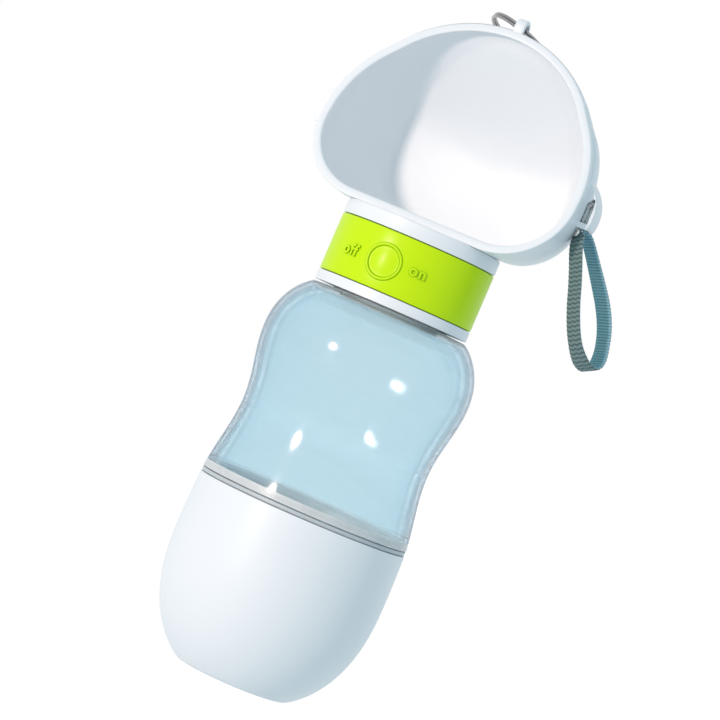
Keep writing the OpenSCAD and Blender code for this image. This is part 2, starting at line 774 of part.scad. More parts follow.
// The loop's line in space, and the webbing's width direction at each place on it
function strap_line() = let (p = strap_loop, n = len(p)) concat(
    [for (i = [0 : n - 2], k = [0 : loop_steps - 1])
        through(p[max(i - 1, 0)], p[i], p[i + 1], p[min(i + 2, n - 1)], k / loop_steps)],
    [p[n - 1]]);
function hang_out() = [cos(strap_hang), 0, sin(strap_hang)];
function hang_down() = [sin(strap_hang), 0, -cos(strap_hang)];
function strap_turn(b) = strap_twist * ease(b / (0.16 * strap_l));
function strap_across(b) = let (a = strap_turn(b)) [0, -cos(a), 0] + sin(a) * hang_out();
function strap_place(q) = let (a = strap_turn(q.y))
    [strap_x, lug_y, flex_z] + q.y * hang_down() + q.x * (cos(a) * hang_out() + [0, sin(a), 0]);

module wrist_strap() {
    line = strap_line();
    n = len(line);
    at = [for (q = line) strap_place(q)];
    sections = [for (i = [0 : n - 1])
        let (along = at[min(i + 1, n - 1)] - at[max(i - 1, 0)],
             across = strap_across(line[i].y) * strap_w / 2,
             out = cross(along, across),
             face = out / norm(out) * strap_t / 2)
        [at[i] - across - face, at[i] + across - face, at[i] + across + face, at[i] - across + face]];
    faces = concat([[0, 1, 2], [0, 2, 3]],
        [for (i = [0 : n - 2], j = [0 : 3]) let (a = 4 * i, b = a + 4, k = (j + 1) % 4)
            each [[a + j, b + j, b + k], [a + j, b + k, a + k]]],
        [let (a = 4 * n - 4) [a, a + 2, a + 1], let (a = 4 * n - 4) [a, a + 3, a + 2]]);
    color(webbing)
    union() {
        polyhedron([for (s = sections) each s], faces, convexity = 6);
        // the sewn head, round where it folds
        translate([strap_x, lug_y + strap_w / 2, flex_z])
            rotate([90, 90 - strap_hang, 0])
                union() {
                    cylinder(r = flex_r, h = strap_w, $fn = 32);
                    translate([0, -flex_r, 0])
                        cube([0.06 * strap_l, 2 * flex_r, strap_w]);
                }
    }
}

// The double-coil ring, hung in the eyelet and leaning to one side
module split_ring() {
    reach = sqrt(pow(split_ring_r, 2) - pow(ring_shift, 2));
    color(steel)
    translate([0, eyelet_y, eyelet_z])
        rotate([0, ring_roll, 0])
            rotate([ring_drop, 0, 0])
                translate([ring_shift, reach, 0])
                    difference() {
                        for (s = [-1, 1])
                            translate([0, 0, s * ring_wire * 0.48])
                                rotate_extrude($fn = 96)
                                    translate([split_ring_r, 0])
                                        circle(d = ring_wire + 0.1, $fn = 20);
                        // the two free ends of the coil
                        for (s = [-1, 1])
                            rotate([0, 0, 60 + s * 12])
                                translate([split_ring_r - 2, -0.25, s > 0 ? 0.1 : -2.1])
                                    cube([4, 0.5, 2]);
                    }
}

food_cup();
cup_seal();
bottle();
neck_gasket();
cap();
valve_seat();
vent_valve();
lower_ring_seal();
upper_ring_seal();
cam_sleeve();
valve_ring();
valve_carriage();
follower_pins();
valve_plug();
bowl();
bowl_seal();
outlet_strainer();
strap_pin();
strap_tab();
wrist_strap();
split_ring();
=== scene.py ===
import math

import bpy
from mathutils import Matrix, Vector


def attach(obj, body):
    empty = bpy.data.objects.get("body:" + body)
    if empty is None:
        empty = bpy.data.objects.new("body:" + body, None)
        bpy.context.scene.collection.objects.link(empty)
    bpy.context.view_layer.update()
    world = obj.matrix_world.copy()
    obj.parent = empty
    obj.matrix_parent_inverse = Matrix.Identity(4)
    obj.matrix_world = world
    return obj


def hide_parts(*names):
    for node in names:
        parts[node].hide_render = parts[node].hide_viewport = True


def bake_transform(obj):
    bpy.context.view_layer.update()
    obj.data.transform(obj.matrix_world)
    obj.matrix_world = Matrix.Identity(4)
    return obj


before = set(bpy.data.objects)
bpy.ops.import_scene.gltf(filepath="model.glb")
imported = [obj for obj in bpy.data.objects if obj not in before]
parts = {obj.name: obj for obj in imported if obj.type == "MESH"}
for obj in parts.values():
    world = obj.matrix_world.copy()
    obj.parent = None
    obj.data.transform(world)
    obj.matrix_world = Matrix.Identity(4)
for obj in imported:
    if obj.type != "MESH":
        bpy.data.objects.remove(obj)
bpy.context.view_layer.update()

mm = 0.001

# ---------- camera ----------
# It stands level with the middle of the bottle, a little to the strap's side of the bowl's mouth,
# and is rolled so that the upright bottle leans over to the right.
camera_side = math.radians(18)
camera_roll = math.radians(23.4)
camera_away = 1.03
aim_height = 114.5
aim_left = 2.7
side = Vector((math.cos(camera_side), math.sin(camera_side), 0))
back = Vector((math.sin(camera_side), -math.cos(camera_side), 0))
up = Vector((0, 0, 1))
aim = Vector((0, 0, aim_height * mm)) - side * aim_left * mm
camera_data = bpy.data.cameras.new("camera")
camera_data.lens = 154.5
camera_data.sensor_width = 36
camera_data.clip_start = 0.05
camera = bpy.data.objects.new("camera", camera_data)
bpy.context.scene.collection.objects.link(camera)
right = side * math.cos(camera_roll) + up * math.sin(camera_roll)
above = up * math.cos(camera_roll) - side * math.sin(camera_roll)
turned_to = Matrix((right, above, back)).transposed().to_4x4()
camera.matrix_world = Matrix.Translation(aim + back * camera_away) @ turned_to
bpy.context.scene.camera = camera
bpy.context.scene.view_settings.view_transform = "Standard"


# ---------- food cup ----------
# The white cup at the foot holds dry food. It is moulded in glossy plastic with a flat foot, a full
# belly and a plain rim, and a thread inside the rim takes the bottle's spigot.
cup_h = 60.2
cup_r = 37.3
foot_r = 20.0
cup_wall = 2.2
cup_floor = 2.5
belly_z = 0.69 * cup_h
belly_power = 2.3
rim_draw = 0.4
cup_bore = 34.9
cup_lead = 6


class Value:
    """A shader socket that works in Python expressions: Value + 1, 1 - Value, Value * Value."""

    def __init__(self, material, socket):
        self.material = material
        self.socket = socket

    def maths(self, operation, first, second=None):
        values = [first] if second is None else [first, second]
        return self.material.add("ShaderNodeMath", values, operation=operation)

    def __add__(self, other):
        return self.maths("ADD", self, other)

    __radd__ = __add__

    def __sub__(self, other):
        return self.maths("SUBTRACT", self, other)

    def __rsub__(self, other):
        return self.maths("SUBTRACT", other, self)

    def __mul__(self, other):
        return self.maths("MULTIPLY", self, other)

    __rmul__ = __mul__

    def __pow__(self, other):
        return self.maths("POWER", self, other)


class Finish:
    """A material built from a Principled shader and the nodes added to it."""

    def __init__(self, name, **sockets):
        self.data = bpy.data.materials.new(name)
        self.data.use_nodes = True
        self.tree = self.data.node_tree
        self.shader = self.tree.nodes["Principled BSDF"]
        for socket, value in sockets.items():
            self.set(socket.replace("_", " "), value)

    def set(self, socket, value):
        if isinstance(value, Value):
            self.tree.links.new(value.socket, self.shader.inputs[socket])
        else:
            if isinstance(value, tuple) and len(value) == 3 and socket != "Subsurface Radius":
                value = (*value, 1)
            self.shader.inputs[socket].default_value = value

    def add(self, kind, inputs=(), out=0, **settings):
        node = self.tree.nodes.new(kind)
        stops = settings.pop("stops", None)
        for key, value in settings.items():
            setattr(node, key, value)
        if stops:
            ramp = node.color_ramp
            while len(ramp.elements) < len(stops):
                ramp.elements.new(0.5)
            for element, (place, colour) in zip(ramp.elements, stops):
                element.position = place
                element.color = (*colour, 1) if len(colour) == 3 else colour
        pairs = inputs.items() if isinstance(inputs, dict) else enumerate(inputs)
        for key, value in pairs:
            if isinstance(value, Value):
                self.tree.links.new(value.socket, node.inputs[key])
            elif value is not None:
                if isinstance(value, tuple) and len(value) == 3 and node.inputs[key].type == "RGBA":
                    value = (*value, 1)
                node.inputs[key].default_value = value
        return Value(self, node.outputs[out])

    def place(self, out="Object"):
        return self.add("ShaderNodeTexCoord", out=out)

    def noise(self, scale, detail=2, roughness=0.5, vector=None):
        return self.add("ShaderNodeTexNoise", {"Vector": vector or self.place(), "Scale": scale,
                                               "Detail": detail, "Roughness": roughness})

    def blend(self, factor, first, second):
        return self.add("ShaderNodeMix", {0: factor, 6: first, 7: second}, out=2,
                        data_type="RGBA")

    def bump(self, height, strength, distance):
        normal = self.add("ShaderNodeBump", {"Strength": strength, "Distance": distance,
                                             "Height": height})
        self.set("Normal", normal)
        return normal

    def onto(self, *objects):
        for thing in objects:
            thing.data.materials.clear()
            thing.data.materials.append(self.data)


def deselect():
    bpy.ops.object.select_all(action="DESELECT")


def choose(thing):
    deselect()
    thing.select_set(True)
    bpy.context.view_layer.objects.active = thing
    return thing


def soften(thing, degrees=35):
    choose(thing)
    bpy.ops.object.shade_smooth_by_angle(angle=math.radians(degrees))
    return thing


weld = 0.000002


def turned(name, outline, steps=192):
    """Turns an outline, given as radius and height in millimetres, once round the bottle's axis."""
    deselect()
    bpy.ops.mesh.primitive_plane_add(size=0.002)
    thing = bpy.context.object
    thing.name = name
    bpy.ops.object.mode_set(mode="EDIT")
    bpy.ops.mesh.select_all(action="SELECT")
    bpy.ops.mesh.merge(type="CENTER")
    before = Vector((0, 0, 0))
    for i, (radius, height) in enumerate(outline):
        point = Vector((radius, 0, height)) * mm
        if i == 0:
            bpy.ops.transform.translate(value=point)
        else:
            bpy.ops.mesh.extrude_region_move(TRANSFORM_OT_translate={"value": point - before})
        before = point
    bpy.ops.mesh.select_all(action="SELECT")
    bpy.ops.mesh.spin(steps=steps, angle=math.tau, center=(0, 0, 0), axis=(0, 0, 1))
    bpy.ops.mesh.select_all(action="SELECT")
    bpy.ops.mesh.remove_doubles(threshold=weld)
    bpy.ops.mesh.normals_make_consistent(inside=False)
    bpy.ops.object.mode_set(mode="OBJECT")
    return thing


def skinned(name, rings, looped=False):
    """A closed skin of quads over rings of points in millimetres. A looped one joins its last ring
    to its first; otherwise each end is closed by a flat face."""
    count = len(rings[0])
    points = [Vector(p) * mm for ring in rings for p in ring]
    faces = []
    for i in range(len(rings) - (0 if looped else 1)):
        above_i = (i + 1) % len(rings)
        for j in range(count):
            k = (j + 1) % count
            faces.append((i * count + j, i * count + k, above_i * count + k, above_i * count + j))
    if not looped:
        faces.append(tuple(reversed(range(count))))
        faces.append(tuple((len(rings) - 1) * count + j for j in range(count)))
    mesh = bpy.data.meshes.new(name)
    mesh.from_pydata(points, [], faces)
    thing = bpy.data.objects.new(name, mesh)
    bpy.context.scene.collection.objects.link(thing)
    choose(thing)
    bpy.ops.object.mode_set(mode="EDIT")
    bpy.ops.mesh.select_all(action="SELECT")
    bpy.ops.mesh.normals_make_consistent(inside=False)
    bpy.ops.object.mode_set(mode="OBJECT")
    return thing


def thread(name, radius, low, high, lead, rise, base, start=0.0, steps=96):
    """A rounded thread ridge that climbs from low to high. A negative rise stands inward in a bore."""
    turns = (high - low) / lead
    rings = []
    for i in range(int(turns * steps) + 1):
        share = i / (turns * steps)
        angle = start + math.tau * turns * share
        fade = min(1, 10 * share * turns, 10 * (1 - share) * turns)
        z = low + (high - low) * share
        ring = []
        for across, out in ((-base, -0.3), (-0.62 * base, 0.35), (-0.25 * base, 0.93), (0, 1.0),
                            (0.25 * base, 0.93), (0.62 * base, 0.35), (base, -0.3)):
            r = radius + rise * (out * fade if out > 0 else out)
            ring.append((r * math.cos(angle), r * math.sin(angle), z + across))
        rings.append(ring)
    return skinned(name, rings)


def joined(name, *things):
    choose(things[0])
    for thing in things[1:]:
        thing.select_set(True)
    bpy.ops.object.join()
    things[0].name = name
    return things[0]


def cup_profile(largest, bottom, foot, height):
    """The cup's radius at a height, from its foot out to its belly and in a little to its rim."""
    reach = (belly_z - bottom) / (1 - (foot / largest) ** belly_power) ** (1 / belly_power)
    if height < belly_z:
        return largest * (1 - ((belly_z - height) / reach) ** belly_power) ** (1 / belly_power)
    return largest - rim_draw * ((height - belly_z) / (cup_h - belly_z)) ** 2


outside = [(cup_profile(cup_r, 0, foot_r, cup_h * i / 90), cup_h * i / 90) for i in range(1, 90)]
inside = [(cup_profile(cup_r - cup_wall, cup_floor, foot_r - 0.5, z), z)
          for z in [cup_floor + (belly_z - cup_floor) * i / 60 for i in range(61)]]
foot = [(0, 0.35), (foot_r - 2.6, 0.35), (foot_r - 2.2, 0.05), (foot_r - 1.9, 0), (foot_r - 0.2, 0)]
rim = [(cup_profile(cup_r, 0, foot_r, cup_h - 0.35), cup_h - 0.35), (cup_r - 0.56, cup_h - 0.1),
       (cup_r - 0.8, cup_h), (cup_bore + 0.5, cup_h), (cup_bore + 0.15, cup_h - 0.12),
       (cup_bore, cup_h - 0.45), (cup_bore, belly_z + 2)]
cup = turned("food_cup_shell", foot + outside + rim + inside[::-1] + [(0, cup_floor)])
soften(cup, 30)
cup_thread = thread("cup_thread", cup_bore, cup_h - 9.5, cup_h - 2.2, cup_lead, rise=-0.55, base=1.0,
                    start=1.0)
cup = joined("food_cup_shell", cup, soften(cup_thread, 40))

white = Finish("glossy_white", Base_Color=(0.85, 0.875, 0.90), Roughness=0.4, IOR=1.45,
               Coat_Weight=0.08, Coat_Roughness=0.16)
white.set("Base Color", white.blend(white.noise(14, 2), (0.845, 0.872, 0.898), (0.865, 0.888, 0.910)))
white.set("Roughness", 0.36 + white.noise(90, 3) * 0.12)
white.bump(white.noise(450, 2), 0.04, 0.0002)
white.onto(cup, parts["food_cup"])
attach(cup, "food_cup")
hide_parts("food_cup")


# ---------- cup seal ----------
# A flat ring moulded in soft grey silicone. It lies on the cup's rim and is squeezed by the bottle's
# ledge as the cup is screwed on.
silicone = Finish("grey_silicone", Base_Color=(0.52, 0.57, 0.60), Roughness=0.45,
                  Subsurface_Weight=0.2, Subsurface_Scale=0.001)
silicone.set("Base Color", silicone.blend(silicone.noise(80, 2), (0.48, 0.53, 0.56), (0.56, 0.61, 0.64)))
silicone.bump(silicone.noise(900, 2), 0.1, 0.0001)
silicone.onto(parts["cup_seal"])


# ---------- bottle ----------
# Blown in clear plastic that looks pale blue, with a waist for the hand. Below it a threaded spigot
# goes down into the food cup, and above it a threaded neck takes the cap.
foot_z = 62.0
shoulder_z = 133.5
waist_z = 87.489
bottle_belly_z = 113.696
bottle_r = 36.9
waist_r = 33.5
bottle_wall = 1.5
shoulder_centre = 18.3
shoulder_rise = 1.12 * (shoulder_z - bottle_belly_z)
spigot_r = 34.0
spigot_z = 49.0
neck_core = 19.5
neck_bore = 17.6
neck_lead = 4
lip_top = 145.7
spigot_corner = 3.5


def ease(t):
    return 0.5 - 0.5 * math.cos(math.pi * min(1, max(0, t)))


def bottle_side(z, inset):
    """The bottle's radius at a height: in to the waist, out to the belly, round to the shoulder."""
    if z < waist_z:
        return bottle_r - inset - (bottle_r - waist_r) * ease((z - foot_z + 4) / (waist_z - foot_z + 4))
    if z < bottle_belly_z:
        return waist_r - inset + (bottle_r - waist_r) * ease((z - waist_z) / (bottle_belly_z - waist_z))
    drop = (z - bottle_belly_z) / (shoulder_rise - inset)
    return shoulder_centre + (bottle_r - inset - shoulder_centre) * math.sqrt(max(0, 1 - drop * drop))


def levels(start, end, count, inset):
    heights = [start + (end - start) * i / count for i in range(count + 1)]
    return [(bottle_side(z, inset), z) for z in heights]


def quarter(r, z, radius, start, end, count=10):
    """Points on an arc round (r, z), from one angle in degrees to another."""
    angles = [math.radians(start + (end - start) * i / count) for i in range(count + 1)]
    return [(r + radius * math.cos(angle), z + radius * math.sin(angle)) for angle in angles]


outline = [(0, spigot_z + 0.6), (spigot_r - 10, spigot_z + 0.3)]
outline += quarter(spigot_r - spigot_corner, spigot_z + spigot_corner, spigot_corner, -90, 0)
outline += [(spigot_r, foot_z - 0.3), (spigot_r + 0.3, foot_z)]
outline += [(bottle_r - 0.7, foot_z)] + quarter(bottle_r - 0.45, foot_z + 0.4, 0.4, -60, 0, 4)
outline += levels(foot_z + 0.9, bottle_belly_z, 90, 0) + levels(bottle_belly_z + 0.4, shoulder_z - 0.6, 60, 0)
outline += [(neck_core + 1.4, shoulder_z - 0.15), (neck_core + 0.4, shoulder_z + 0.1),
            (neck_core, shoulder_z + 0.5), (neck_core, lip_top - 0.4), (neck_core - 0.4, lip_top),
            (neck_bore + 0.3, lip_top), (neck_bore, lip_top - 0.3)]
outline += [(neck_bore, shoulder_z - bottle_wall - 0.2), (neck_bore + 0.35, shoulder_z - bottle_wall - 0.75)]
outline += levels(shoulder_z - bottle_wall - 0.9, bottle_belly_z + 0.4, 60, bottle_wall)
outline += levels(bottle_belly_z, foot_z + bottle_wall + 0.6, 90, bottle_wall)
outline += [(spigot_r - bottle_wall + 0.6, foot_z + bottle_wall),
            (spigot_r - bottle_wall, foot_z + bottle_wall - 0.7)]
outline += quarter(spigot_r - spigot_corner, spigot_z + spigot_corner, spigot_corner - bottle_wall, 0, -90)
outline += [(spigot_r - 10, spigot_z + bottle_wall + 0.3), (0, spigot_z + bottle_wall + 0.6)]
bottle = soften(turned("bottle_shell", outline), 40)
spigot_thread = thread("spigot_thread", spigot_r, spigot_z + 4.0, foot_z - 2.0, cup_lead, rise=0.6, base=1.1)
neck_thread = thread("neck_thread", neck_core, shoulder_z + 3.0, lip_top - 1.6, neck_lead, rise=0.9,
                     base=0.95, start=2.0)
bottle = joined("bottle_shell", bottle, soften(spigot_thread, 40), soften(neck_thread, 40))

clear = Finish("clear_blue", Base_Color=(0.52, 0.72, 0.82), Roughness=0.03, IOR=1.09, Alpha=0.6,
               Transmission_Weight=1.0, Coat_Weight=0.25, Coat_IOR=2.3, Coat_Roughness=0.1)

# Seen edge on, the wall is painted a deeper blue: partly the tint's longer path through it, partly painted
# shade. A thin dark line and a nearly black rim are painted shade standing in for light bent through its two
# faces.
grazing = clear.add("ShaderNodeLayerWeight", {"Blend": 0.30}, out="Facing")
clear.set("Base Color", clear.add("ShaderNodeValToRGB", [grazing], stops=[
    (0.0, (0.53, 0.735, 0.825)), (0.36, (0.49, 0.70, 0.80)), (0.425, (0.28, 0.53, 0.67)),
    (0.46, (0.47, 0.68, 0.78)), (0.54, (0.32, 0.54, 0.67)), (0.66, (0.01, 0.06, 0.14))]))

# Clear plastic lets the light in, so the inside isn't dark.
passing = clear.add("ShaderNodeLightPath", out="Is Shadow Ray")
passing = passing.maths("MAXIMUM", passing, clear.add("ShaderNodeLightPath", out="Is Diffuse Ray"))
clear.set("Alpha", (grazing ** 3 * 0.9 + 0.6) * (1 - passing * 0.85))
clear.set("Roughness", 0.02 + clear.noise(60, 2) * 0.03)
clear.bump(clear.noise(32, 1), 0.035, 0.0003)
clear.onto(bottle, parts["bottle"])

# The foot with the spigot and floor, and the root of the neck, are moulded thicker and look frosted.
frosted_rise = 2.4
frosted_reach = 27.5
frosted = Finish("frosted_foot", Base_Color=(0.88, 0.91, 0.91), Roughness=0.3, IOR=1.40,
                 Transmission_Weight=0.3)
ripple = frosted.noise(170, 2)
frosted.set("Base Color", frosted.blend(ripple, (0.70, 0.74, 0.75), (0.92, 0.94, 0.94)))
frosted.bump(ripple, 0.5, 0.0006)
bottle.data.materials.append(frosted.data)
for face in bottle.data.polygons:
    height, reach = face.center.z / mm, face.center.xy.length / mm
    if height < foot_z + frosted_rise or (height > shoulder_z - bottle_wall - 0.9 and reach < frosted_reach):
        face.material_index = 1
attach(bottle, "bottle")
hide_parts("bottle")


# ---------- screw cap and neck gasket ----------
# The white cap screws on the neck. Its collar shows below the green ring, and its barrel carries
# the valve inside the ring. A silicone gasket lies between the bottle's lip and the cap's deck.
white.onto(parts["cap"])
silicone.onto(parts["neck_gasket"], parts["vent_valve"])


# ---------- valve: seat, plug, carriage, pins and cam sleeve ----------
# A silicone plug on a plastic spider closes a silicone seat in the cap's deck. Three steel pins
# through the spider run in the sleeve's slots and lift it as the ring turns.
silicone.onto(parts["valve_seat"], parts["valve_plug"])
natural = Finish("natural_plastic", Base_Color=(0.78, 0.75, 0.66), Roughness=0.5)
natural.set("Base Color", natural.blend(natural.noise(30, 3), (0.75, 0.72, 0.63), (0.81, 0.785, 0.70)))
natural.bump(natural.noise(600, 2), 0.08, 0.0002)
natural.onto(parts["cam_sleeve"], parts["valve_carriage"])
steel = Finish("bright_steel", Base_Color=(0.30, 0.30, 0.31), Metallic=1.0, Roughness=0.22)
steel.set("Base Color", steel.blend(steel.noise(260, 3), (0.20, 0.20, 0.21), (0.40, 0.40, 0.41)))
steel.set("Roughness", 0.14 + steel.noise(700, 3) * 0.14)
steel.bump(steel.noise(1500, 2), 0.06, 0.0001)
steel.onto(parts["follower_pins"])


# ---------- O-rings ----------
# Two rings of black rubber, round in section. They lie in the cap's grooves above and below the cam
# slots, and seal and brake the green ring.
rubber = Finish("black_rubber", Base_Color=(0.03, 0.033, 0.036), Roughness=0.5)
rubber.set("Roughness", 0.42 + rubber.noise(300, 2) * 0.2)
rubber.bump(rubber.noise(1200, 2), 0.1, 0.0001)
rubber.onto(parts["lower_ring_seal"], parts["upper_ring_seal"])


# ---------- green turning ring ----------
# Moulded in glossy lime plastic. The hand turns it between off and on, which stand up from its
# face in low letters on either side of a plain round boss.
ring_r = 27.3
ring_low = 137.5
ring_high = 157.5
ring_bore = 25.6
letter_tall = 5.3
letter_rise = 0.56
letter_half = 0.42
letter_round = 0.17
ring_round = 0.5
turning_ring = turned("turning_ring", [
    (ring_bore, ring_low), (ring_r - ring_round, ring_low), (ring_r - 0.22, ring_low + 0.08),
    (ring_r - 0.06, ring_low + 0.24), (ring_r, ring_low + ring_round), (ring_r, ring_low + 5),
    (ring_r, ring_low + 10), (ring_r, ring_high - 5), (ring_r, ring_high - ring_round),
    (ring_r - 0.06, ring_high - 0.24), (ring_r - 0.22, ring_high - 0.08), (ring_r - ring_round, ring_high),
    (ring_bore, ring_high), (ring_bore, ring_low)])
soften(turning_ring, 30)


def wrapped(thing, degrees, height):
    """Wraps a flat raised mark round the ring's face. Its own z is how far it stands out."""
    for corner in thing.data.vertices:
        x, y, z = corner.co
        angle = math.radians(degrees) + x / (ring_r * mm)
        reach = ring_r * mm + z
        corner.co = (reach * math.sin(angle), -reach * math.cos(angle), height * mm + y)
    return thing


def word(letters, degrees, height):
    """Raised letters with rounded edges, at a turn round the ring and a height."""
    deselect()
    bpy.ops.object.text_add()
    thing = bpy.context.object
    thing.data.body = letters
    thing.data.size = letter_tall * mm
    thing.data.align_x = "CENTER"
    thing.data.align_y = "CENTER"
    thing.data.space_character = 1.12
    thing.data.extrude = letter_half * mm
    thing.data.offset = 0.05 * mm
    thing.data.bevel_depth = letter_round * mm
    thing.data.bevel_resolution = 2
    thing.data.resolution_u = 8
    bpy.ops.object.convert(target="MESH")
    thing = bpy.context.object
    thing.name = "word_" + letters
    bpy.ops.object.mode_set(mode="EDIT")
    bpy.ops.mesh.select_all(action="SELECT")
    bpy.ops.mesh.remove_doubles(threshold=weld)
    bpy.ops.mesh.subdivide(number_cuts=1)
    bpy.ops.object.mode_set(mode="OBJECT")
    for corner in thing.data.vertices:
        corner.co.z += (letter_rise - letter_half - letter_round) * mm
    return soften(wrapped(thing, degrees, height), 40)


def boss(degrees, height):
    """A low dome inside a round ridge, as radius and rise."""
    turns = [math.tau * i / 72 for i in range(72)]
    rings = [[(r * math.cos(turn), r * math.sin(turn), rise) for turn in turns] for r, rise in (
        (0.02, 0.32), (1.2, 0.30), (2.4, 0.24), (3.6, 0.12), (4.5, 0.02), (4.9, 0.0), (5.15, 0.12), (5.4, 0.40),
        (5.65, 0.52), (5.95, 0.52), (6.2, 0.36), (6.4, 0.08), (6.5, -0.3), (0.02, -0.3))]
    return soften(wrapped(skinned("round_boss", rings), degrees, height), 50)


turning_ring = joined("turning_ring", turning_ring, word("off", degrees=-28, height=146.6),
                      word("on", degrees=25, height=147.9), boss(degrees=0, height=147.0))
lime = Finish("glossy_lime", Base_Color=(0.60, 0.86, 0.004), Roughness=0.36, Specular_IOR_Level=0.12,
              Coat_Weight=0.13, Coat_Roughness=0.24)
pigment = lime.noise(18, 2)
lime.set("Base Color", lime.blend(pigment, (0.585, 0.865, 0.002), (0.615, 0.885, 0.003)))
lime.set("Roughness", 0.32 + lime.noise(90, 3) * 0.1)
lime.bump(lime.noise(420, 2), 0.04, 0.0002)
lime.onto(turning_ring, parts["valve_ring"])

# The marks' steep sides are painted a darker green: painted shade on the sides of the letters and of the boss's
# ridge.
lime_side_shade = Finish("lime_side_shade", Base_Color=(0.32, 0.56, 0.002), Roughness=0.45, Specular_IOR_Level=0.1)
lime_side_shade.set("Base Color", lime_side_shade.blend(lime_side_shade.noise(60, 2), (0.16, 0.38, 0.001), (0.26, 0.50, 0.002)))
turning_ring.data.materials.append(lime_side_shade.data)
# Faces that turn away from the ring's face take the painted shade.
for face in turning_ring.data.polygons:
    outward = Vector((face.center.x, face.center.y, 0))
    steep = abs(face.normal.dot(outward.normalized())) < 0.74
    if steep and outward.length > ring_r * mm and ring_low + 1 < face.center.z / mm < ring_high - 1:
        face.material_index = 1
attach(turning_ring, "ring")
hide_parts("valve_ring")


# ---------- drinking bowl ----------
# A white moulded scoop. Its mouth is a rounded triangle that leans back, and its floor stands upright
# and then slopes forward to the apex. Moulded in one with it are the neck that clips on the cap, a
# lug on each side, the eyelet for the steel ring and a raised pad along each upper shoulder.
mouth_half = 48.0
mouth_tall = 73.6
lip_z = 162.9
lip_front = 16.5
lean = math.tan(math.radians(17.2))
bowl_back = 36.0
apex_y = mouth_tall * lean - lip_front + 4
bowl_wall = 2.0
lip_extra = 0.9
lip_narrow = 0.011
lip_share = 0.3
corner_r = 0.443 * mouth_half
flank_r = 0.886 * mouth_half
crown_r = 0.924 * mouth_half
flank_z = lip_z + 0.342 * mouth_tall
middle_z = lip_z + 0.362 * mouth_tall
drawn_in = 0.3
drawn_up = 0.1
bulge_power = 2.6
floor_slope = 0.75
floor_turn = 2.5
floor_dish = 1.5
neck_r = 27.3
neck_z = 157.8
plate_z = 161.0
neck_top_r = 21.5
sleeve_bore = 17.8
sleeve_r = 20.0
drain_r = 9.0
strainer_seat_r = 10.6


def mouth_line(inset, t=1):
    """The mouth's outline, drawn in by inset, from the middle of the lower lip to the apex and back
    down the other side. At the lip, where t is 0, it is a little narrower than the scoop behind it."""
    at_lip = 1 - ease(t / lip_share)
    corner = corner_r + 0.05 * at_lip * mouth_half
    line = [((mouth_half - corner) * i / 8, lip_z + inset) for i in range(8)]
    line += quarter(mouth_half - corner, lip_z + corner, corner - inset, -90, 0, 24)
    line += quarter(mouth_half - flank_r, flank_z, flank_r - inset, 4, 38, 22)
    line += quarter(0, lip_z + mouth_tall - crown_r, crown_r - inset, 41.5, 90, 24)
    line = [(x * (1 - lip_narrow * at_lip), z) for x, z in line]
    return line + [(-x, z) for x, z in reversed(line[1:-1])]


def mouth_front(z):
    return (z - lip_z) * lean - lip_front


def floor_depth(z):
    """How far back the floor lies at a height: upright below, sloping forward above."""
    slope = apex_y + floor_slope * (lip_z + mouth_tall - bowl_wall - z)
    return -floor_turn * math.log(math.exp(-bowl_back / floor_turn) + math.exp(-slope / floor_turn))


def depth_at(z, inset):
    """How far the floor lies behind the mouth."""
    return floor_depth(middle_z + (z - middle_z) * (1 - drawn_up)) - inset - mouth_front(z)


def on_wall(point, t, inset):
    """A point of the mouth's outline carried back along the wall, which draws in as t goes to 1."""
    x, z = point
    k = max(t, 0) ** bulge_power
    return Vector((x * (1 - drawn_in * k), mouth_front(z) + t * depth_at(z, inset),
                   middle_z + (z - middle_z) * (1 - drawn_up * k)))


def on_floor(point, f, inset):
    """A point of the outline carried in over the floor, which it reaches the middle of as f goes to 1."""
    edge = on_wall(point, 1, inset)
    z = middle_z + (edge.z - middle_z) * (1 - f)
    return Vector((edge.x * (1 - f), floor_depth(z) - inset + floor_dish * (1 - (1 - f) ** 2), z))


def on_fillet(point, u, inset, start, end):
    """A soft turn from the wall to the floor."""
    return ((1 - u) ** 2 * on_wall(point, start, inset) + 2 * u * (1 - u) * on_wall(point, 1, inset)
            + u * u * on_floor(point, end, inset))


def wall_at(t):
    """The wall is thicker at the lip."""
    return bowl_wall + lip_extra * (1 - ease(t / lip_share))


def scoop_rings():
    """Rings from the middle of the back, round the lip, to the middle of the floor."""
    outer, inner = mouth_line(0), mouth_line(bowl_wall)
    rings = [[on_floor(p, f, 0) for p in outer] for f in (0.98, 0.85, 0.7, 0.55, 0.42, 0.3, 0.21)]
    rings += [[on_fillet(p, u / 8, 0, 0.88, 0.14) for p in outer] for u in range(8, -1, -1)]
    rings += [[on_wall(p, t, 0) for p in mouth_line(0, t)]
              for t in (0.82, 0.75, 0.67, 0.58, 0.49, 0.4, 0.34, 0.28, 0.22, 0.17, 0.12, 0.07, 0.03)]
    for inset, behind in ((0.0, 0.75), (0.1, 0.38), (0.32, 0.1), (0.7, 0.0), (1.3, 0.0), (2.0, 0.0),
                          (2.45, 0.08), (2.75, 0.3), (2.9, 0.7)):
        rings.append([on_wall(p, 0, 0) + Vector((0, behind, 0)) for p in mouth_line(inset, 0)])
    rings += [[on_wall(p, t, bowl_wall) for p in mouth_line(wall_at(t), t)]
              for t in (0.03, 0.07, 0.12, 0.17, 0.22, 0.28, 0.34, 0.4, 0.49, 0.58, 0.67, 0.76, 0.84, 0.9, 0.94)]
    rings += [[on_fillet(p, u / 8, bowl_wall, 0.965, 0.045) for p in inner] for u in range(9)]
    return rings + [[on_floor(p, f, bowl_wall) for p in inner]
                    for f in (0.09, 0.14, 0.22, 0.32, 0.44, 0.57, 0.7, 0.85, 0.98)]


